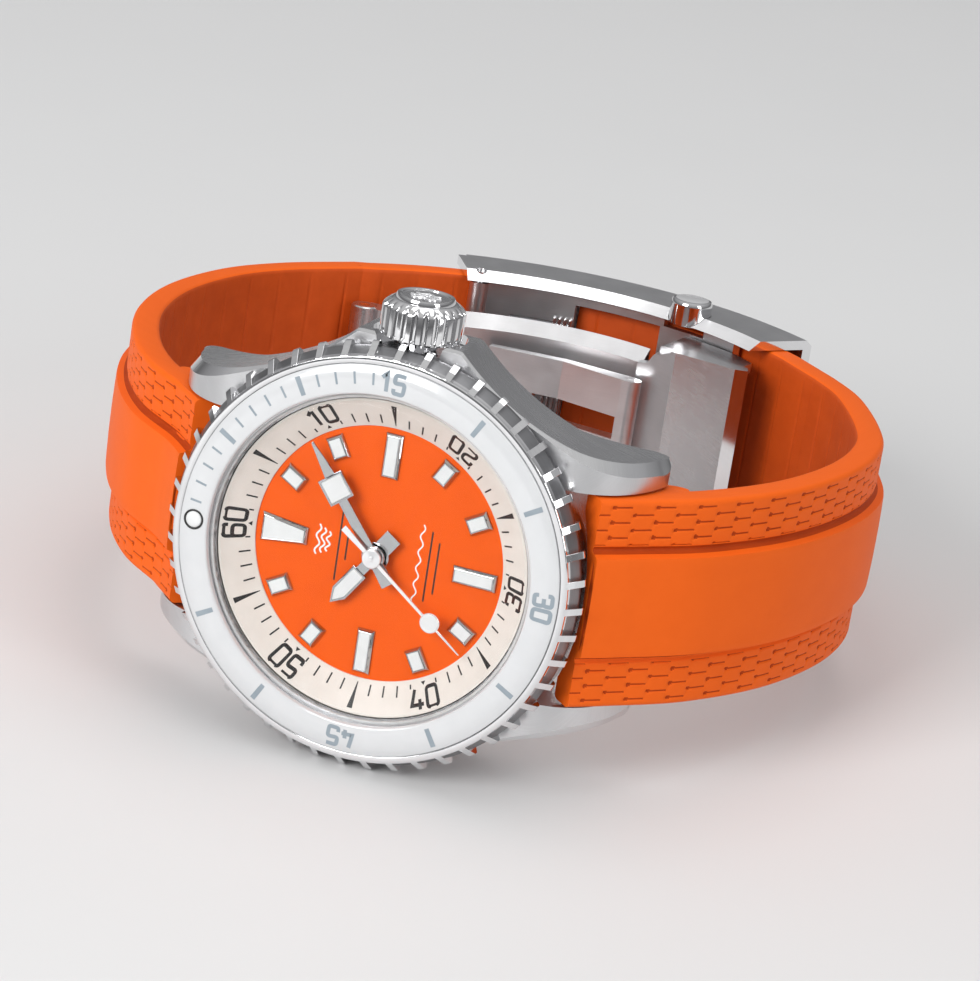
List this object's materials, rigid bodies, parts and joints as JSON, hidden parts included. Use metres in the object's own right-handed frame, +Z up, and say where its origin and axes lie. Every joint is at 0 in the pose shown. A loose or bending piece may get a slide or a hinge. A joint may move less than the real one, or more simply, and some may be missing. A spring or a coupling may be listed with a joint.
{
  "type": "dive watch",
  "caption": "Steel automatic dive watch with a ribbed rotating bezel and a moulded rubber strap closed by a curved push-button folding clasp, lying on its side with the crown up",
  "frame": {"origin": "Middle of the bounding box's bottom face, on the surface that the watch lies on", "axes": "+Z up, +Y from the dial side back to the clasp, +X towards 6 o'clock; the dial faces -Y and leans back 5.9 degrees; the crown points up"},
  "size_m": [0.0696, 0.0751, 0.0394],
  "materials": {
    "steel_brushed": "circular and straight brushing",
    "steel_polished": "mirror polish",
    "rubber_orange": "moulded matt rubber",
    "gasket_black": "plain seal",
    "gasket_white": "plain seal",
    "sapphire": "clear, coated",
    "dial_orange": "satin lacquer",
    "ring_cream": "satin lacquer with printed minutes",
    "ceramic_white": "polished ceramic with engraved minutes",
    "lume_white": "luminous compound",
    "brass_gilt": "gilt",
    "steel_blued": "heat-blued",
    "ruby": "polished synthetic ruby"
  },
  "bodies": {
    "case": {"case_middle": "steel_brushed", "caseback": "steel_brushed", "caseback_gasket": "gasket_black", "crown_tube": "steel_polished", "crystal": "sapphire", "crystal_gasket": "gasket_white", "rehaut": "ring_cream", "dial": "dial_orange", "hour_markers": "steel_polished", "marker_lume": "lume_white", "bezel_spring": "steel_brushed", "spring_bar_12": "steel_polished", "spring_bar_6": "steel_polished", "movement_ring": "steel_brushed", "mainplate": "steel_brushed", "barrel_bridge": "steel_brushed", "train_bridge": "steel_brushed", "balance_cock": "steel_brushed", "pallet_bridge": "steel_brushed", "movement_screws": "steel_blued", "jewels": "ruby", "rotor_bearing": "steel_brushed", "strap_12": "rubber_orange", "strap_6": "rubber_orange", "clasp_frame": "steel_brushed", "clasp_floor": "steel_brushed", "clasp_pins": "steel_polished"},
    "bezel": {"bezel_ring": "steel_brushed", "bezel_insert": "ceramic_white", "bezel_pip": "lume_white"},
    "winding_pinion": {"winding_pinion": "steel_brushed"},
    "crown": {"crown": "steel_polished", "crown_stem": "steel_polished", "crown_gasket": "gasket_black"},
    "seconds": {"seconds_hand": "steel_polished", "seconds_lume": "lume_white", "fourth_wheel": "brass_gilt"},
    "minute": {"minute_hand": "steel_polished", "minute_lume": "lume_white", "centre_wheel": "brass_gilt"},
    "hour": {"hour_hand": "steel_polished", "hour_lume": "lume_white", "hour_wheel": "brass_gilt"},
    "third_wheel": {"third_wheel": "brass_gilt"},
    "escape_wheel": {"escape_wheel": "steel_polished"},
    "minute_wheel": {"minute_wheel": "brass_gilt"},
    "barrel": {"barrel": "brass_gilt", "mainspring": "steel_blued"},
    "crown_wheel": {"crown_wheel": "steel_brushed"},
    "ratchet_wheel": {"ratchet_wheel": "steel_brushed"},
    "pallet_fork": {"pallet_fork": "steel_polished"},
    "balance": {"balance_wheel": "brass_gilt", "hairspring": "steel_blued"},
    "rotor": {"rotor": "steel_brushed"},
    "clasp_cover": {"clasp_cover": "steel_brushed"},
    "button_upper": {"button_upper": "steel_polished"},
    "button_lower": {"button_lower": "steel_polished"},
    "clasp_blade": {"clasp_blade": "steel_brushed"}
  },
  "joints": [
    {"name": "bezel_turn", "type": "hinge", "parent": "case", "child": "bezel", "pos_m": [0.00094, -0.03379, 0.01794], "axis": [0, -0.9947, 0.1028], "continuous": true},
    {"name": "crown_turn", "type": "hinge", "parent": "case", "child": "winding_pinion", "pos_m": [0.00094, -0.02913, 0.02892], "axis": [0, 0.1028, 0.9947], "continuous": true},
    {"name": "crown_pull", "type": "slide", "parent": "winding_pinion", "child": "crown", "axis": [0, 0.1028, 0.9947], "range_m": [0, 0.0016]},
    {"name": "seconds_turn", "type": "hinge", "parent": "case", "child": "seconds", "pos_m": [0.00094, -0.03279, 0.01784], "axis": [0, -0.9947, 0.1028], "continuous": true},
    {"name": "minute_turn", "type": "hinge", "parent": "case", "child": "minute", "pos_m": [0.00094, -0.03279, 0.01784], "axis": [0, -0.9947, 0.1028], "continuous": true},
    {"name": "hour_turn", "type": "hinge", "parent": "case", "child": "hour", "pos_m": [0.00094, -0.03279, 0.01784], "axis": [0, -0.9947, 0.1028], "continuous": true},
    {"name": "third_turn", "type": "hinge", "parent": "case", "child": "third_wheel", "pos_m": [0.00444, -0.02967, 0.014], "axis": [0, -0.9947, 0.1028], "continuous": true},
    {"name": "escape_turn", "type": "hinge", "parent": "case", "child": "escape_wheel", "pos_m": [0.00522, -0.02955, 0.01999], "axis": [0, -0.9947, 0.1028], "continuous": true},
    {"name": "minute_wheel_turn", "type": "hinge", "parent": "case", "child": "minute_wheel", "pos_m": [0.00094, -0.03204, 0.01535], "axis": [0, -0.9947, 0.1028], "continuous": true},
    {"name": "barrel_turn", "type": "hinge", "parent": "case", "child": "barrel", "pos_m": [-0.00347, -0.02985, 0.02197], "axis": [0, -0.9947, 0.1028], "continuous": true},
    {"name": "crown_wheel_turn", "type": "hinge", "parent": "case", "child": "crown_wheel", "pos_m": [0.00094, -0.02736, 0.02663], "axis": [0, -0.9947, 0.1028], "continuous": true},
    {"name": "ratchet_turn", "type": "hinge", "parent": "case", "child": "ratchet_wheel", "pos_m": [-0.00347, -0.02786, 0.02177], "axis": [0, -0.9947, 0.1028], "continuous": true},
    {"name": "pallet_rock", "type": "hinge", "parent": "case", "child": "pallet_fork", "pos_m": [0.00622, -0.0296, 0.02246], "axis": [0, -0.9947, 0.1028], "range_deg": [-5, 5]},
    {"name": "balance_swing", "type": "hinge", "parent": "case", "child": "balance", "pos_m": [0.00714, -0.02857, 0.02464], "axis": [0, -0.9947, 0.1028], "range_deg": [-150, 150], "stiffness_Nm_per_rad": 0.0000001},
    {"name": "rotor_turn", "type": "hinge", "parent": "case", "child": "rotor", "pos_m": [0.00094, -0.02732, 0.01727], "axis": [0, -0.9947, 0.1028], "continuous": true},
    {"name": "cover_open", "type": "hinge", "parent": "case", "child": "clasp_cover", "pos_m": [-0.01275, 0.02757, 0.0116], "axis": [0, 0.1028, 0.9947], "range_deg": [0, 36]},
    {"name": "button_upper_press", "type": "slide", "parent": "clasp_cover", "child": "button_upper", "axis": [0, -0.1028, -0.9947], "range_m": [0, 0.0008], "stiffness_N_per_m": 800, "springref_m": -0.0005},
    {"name": "button_lower_press", "type": "slide", "parent": "clasp_cover", "child": "button_lower", "axis": [0, 0.1028, 0.9947], "range_m": [0, 0.0008], "stiffness_N_per_m": 800, "springref_m": -0.0005},
    {"name": "blade_fold", "type": "hinge", "parent": "case", "child": "clasp_blade", "pos_m": [0.00614, 0.01933, 0.01245], "axis": [0, 0.1028, 0.9947], "range_deg": [0, 60]}
  ],
  "couplings": [
    {"joint": "minute_turn", "follows": "seconds_turn", "ratio": 0.016667},
    {"joint": "hour_turn", "follows": "seconds_turn", "ratio": 0.0013889},
    {"joint": "third_turn", "follows": "seconds_turn", "ratio": -0.13333},
    {"joint": "escape_turn", "follows": "seconds_turn", "ratio": -12},
    {"joint": "minute_wheel_turn", "follows": "seconds_turn", "ratio": -0.0055556},
    {"joint": "barrel_turn", "follows": "seconds_turn", "ratio": -0.002381},
    {"joint": "crown_wheel_turn", "follows": "crown_turn", "ratio": -0.66667},
    {"joint": "ratchet_turn", "follows": "crown_turn", "ratio": 0.33333}
  ]
}
